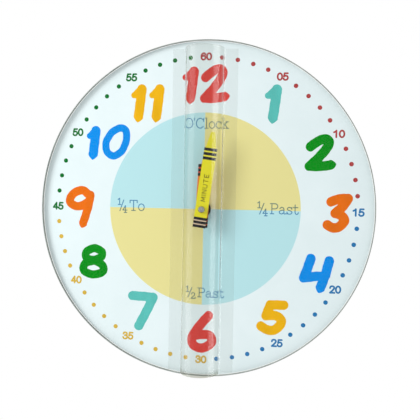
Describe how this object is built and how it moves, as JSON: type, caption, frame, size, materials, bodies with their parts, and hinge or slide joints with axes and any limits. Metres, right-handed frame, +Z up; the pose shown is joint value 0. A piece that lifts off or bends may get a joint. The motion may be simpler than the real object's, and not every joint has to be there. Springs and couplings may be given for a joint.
{
  "type": "time teaching wall clock",
  "caption": "Round glass wall clock for learning the time: coloured numbers, minute dots, crayon-shaped hands under a clear guard strip, battery movement behind.",
  "frame": {"origin": "on the hand axis, in the wall plane that the movement's rear cover lies on", "axes": "+Z up through twelve o'clock, +X to three o'clock seen from the front, dial facing -Y"},
  "size_m": [0.3, 0.0435, 0.3],
  "materials": {
    "glass": "clear toughened glass with a ground edge",
    "printed_film": "white film printed with numbers, dots and coloured quarters",
    "clear_plastic": "thin clear plastic sheet, formed",
    "black_steel": "black oxide",
    "rubber": "soft black rubber",
    "zinc_steel": "zinc plated",
    "foam": "closed-cell grey foam",
    "case_plastic": "black moulded plastic, fine spark texture",
    "brass": "turned",
    "tan_plastic": "moulded acetal",
    "white_plastic": "moulded acetal",
    "iron": "bare soft iron",
    "copper_wire": "enamelled copper winding",
    "board": "green resin board",
    "bright_metal": "polished nickel",
    "resin": "black resin drop",
    "nickel_strip": "nickel plated strip",
    "cell_sleeve": "plain wrapped cell",
    "yellow_paint": "satin printed sheet with black bands",
    "orange_paint": "satin printed sheet with black bands"
  },
  "bodies": {
    "clock": {"glass_dial": "glass", "dial_print": "printed_film", "hand_guard": "clear_plastic", "front_washer": "black_steel", "fixing_nut": "black_steel", "rubber_washer": "rubber", "hanger_plate": "zinc_steel", "foam_pads": "foam", "movement_case": "case_plastic", "pillar_plate": "tan_plastic", "centre_bush": "brass", "rear_cover": "case_plastic", "train_bridge": "tan_plastic", "bridge_screws": "zinc_steel", "stator": "iron", "coil_core": "iron", "coil_bobbin": "white_plastic", "coil_winding": "copper_wire", "circuit_board": "board", "quartz_crystal": "bright_metal", "clock_chip": "resin", "contact_positive": "nickel_strip", "contact_negative": "nickel_strip"},
    "battery": {"battery_cell": "cell_sleeve"},
    "minute": {"minute_arbor": "white_plastic", "clutch_spring": "brass", "minute_hand": "yellow_paint", "cap_nut": "bright_metal"},
    "hour": {"hour_wheel": "white_plastic", "hour_collet": "brass", "hour_hand": "orange_paint"},
    "minute_gear": {"minute_wheel": "white_plastic"},
    "setting": {"setting_arbor": "white_plastic", "setting_knob": "case_plastic"},
    "centre_gear": {"centre_wheel": "tan_plastic"},
    "third_gear": {"third_wheel": "white_plastic"},
    "second_gear": {"second_wheel": "white_plastic"},
    "step_gear": {"step_wheel": "white_plastic"},
    "rotor": {"rotor_pinion": "white_plastic", "rotor_magnet": "iron"}
  },
  "joints": [
    {"name": "minute_hand_turn", "type": "hinge", "parent": "clock", "child": "minute", "pos_m": [0, -0.01, 0], "axis": [0, 1, 0], "continuous": true},
    {"name": "hour_hand_turn", "type": "hinge", "parent": "clock", "child": "hour", "pos_m": [0, -0.01, 0], "axis": [0, 1, 0], "continuous": true},
    {"name": "minute_wheel_turn", "type": "hinge", "parent": "clock", "child": "minute_gear", "pos_m": [0.00827, -0.01, -0.00146], "axis": [0, 1, 0], "continuous": true},
    {"name": "setting_knob_turn", "type": "hinge", "parent": "clock", "child": "setting", "pos_m": [0.01569, -0.01, 0.00248], "axis": [0, 1, 0], "continuous": true},
    {"name": "second_wheel_turn", "type": "hinge", "parent": "clock", "child": "second_gear", "pos_m": [-0.00354, -0.01, 0.01186], "axis": [0, 1, 0], "continuous": true},
    {"name": "third_wheel_turn", "type": "hinge", "parent": "clock", "child": "third_gear", "pos_m": [-0.00779, -0.01, 0.0045], "axis": [0, 1, 0], "continuous": true},
    {"name": "centre_wheel_turn", "type": "hinge", "parent": "clock", "child": "centre_gear", "pos_m": [0, -0.01, 0], "axis": [0, 1, 0], "continuous": true},
    {"name": "step_wheel_turn", "type": "hinge", "parent": "clock", "child": "step_gear", "pos_m": [0.00551, -0.01, 0.01429], "axis": [0, 1, 0], "continuous": true},
    {"name": "rotor_turn", "type": "hinge", "parent": "clock", "child": "rotor", "pos_m": [0.01372, -0.01, 0.01209], "axis": [0, 1, 0], "continuous": true},
    {"name": "battery_lift", "type": "slide", "parent": "clock", "child": "battery", "axis": [0, 1, 0], "range_m": [0, 0.03]}
  ],
  "couplings": [
    {"joint": "hour_hand_turn", "follows": "minute_hand_turn", "ratio": 0.083333},
    {"joint": "minute_wheel_turn", "follows": "minute_hand_turn", "ratio": -0.33333},
    {"joint": "setting_knob_turn", "follows": "minute_hand_turn", "ratio": 1},
    {"joint": "third_wheel_turn", "follows": "second_wheel_turn", "ratio": -0.13333},
    {"joint": "centre_wheel_turn", "follows": "second_wheel_turn", "ratio": 0.016667},
    {"joint": "step_wheel_turn", "follows": "second_wheel_turn", "ratio": -4},
    {"joint": "rotor_turn", "follows": "second_wheel_turn", "ratio": 30}
  ]
}
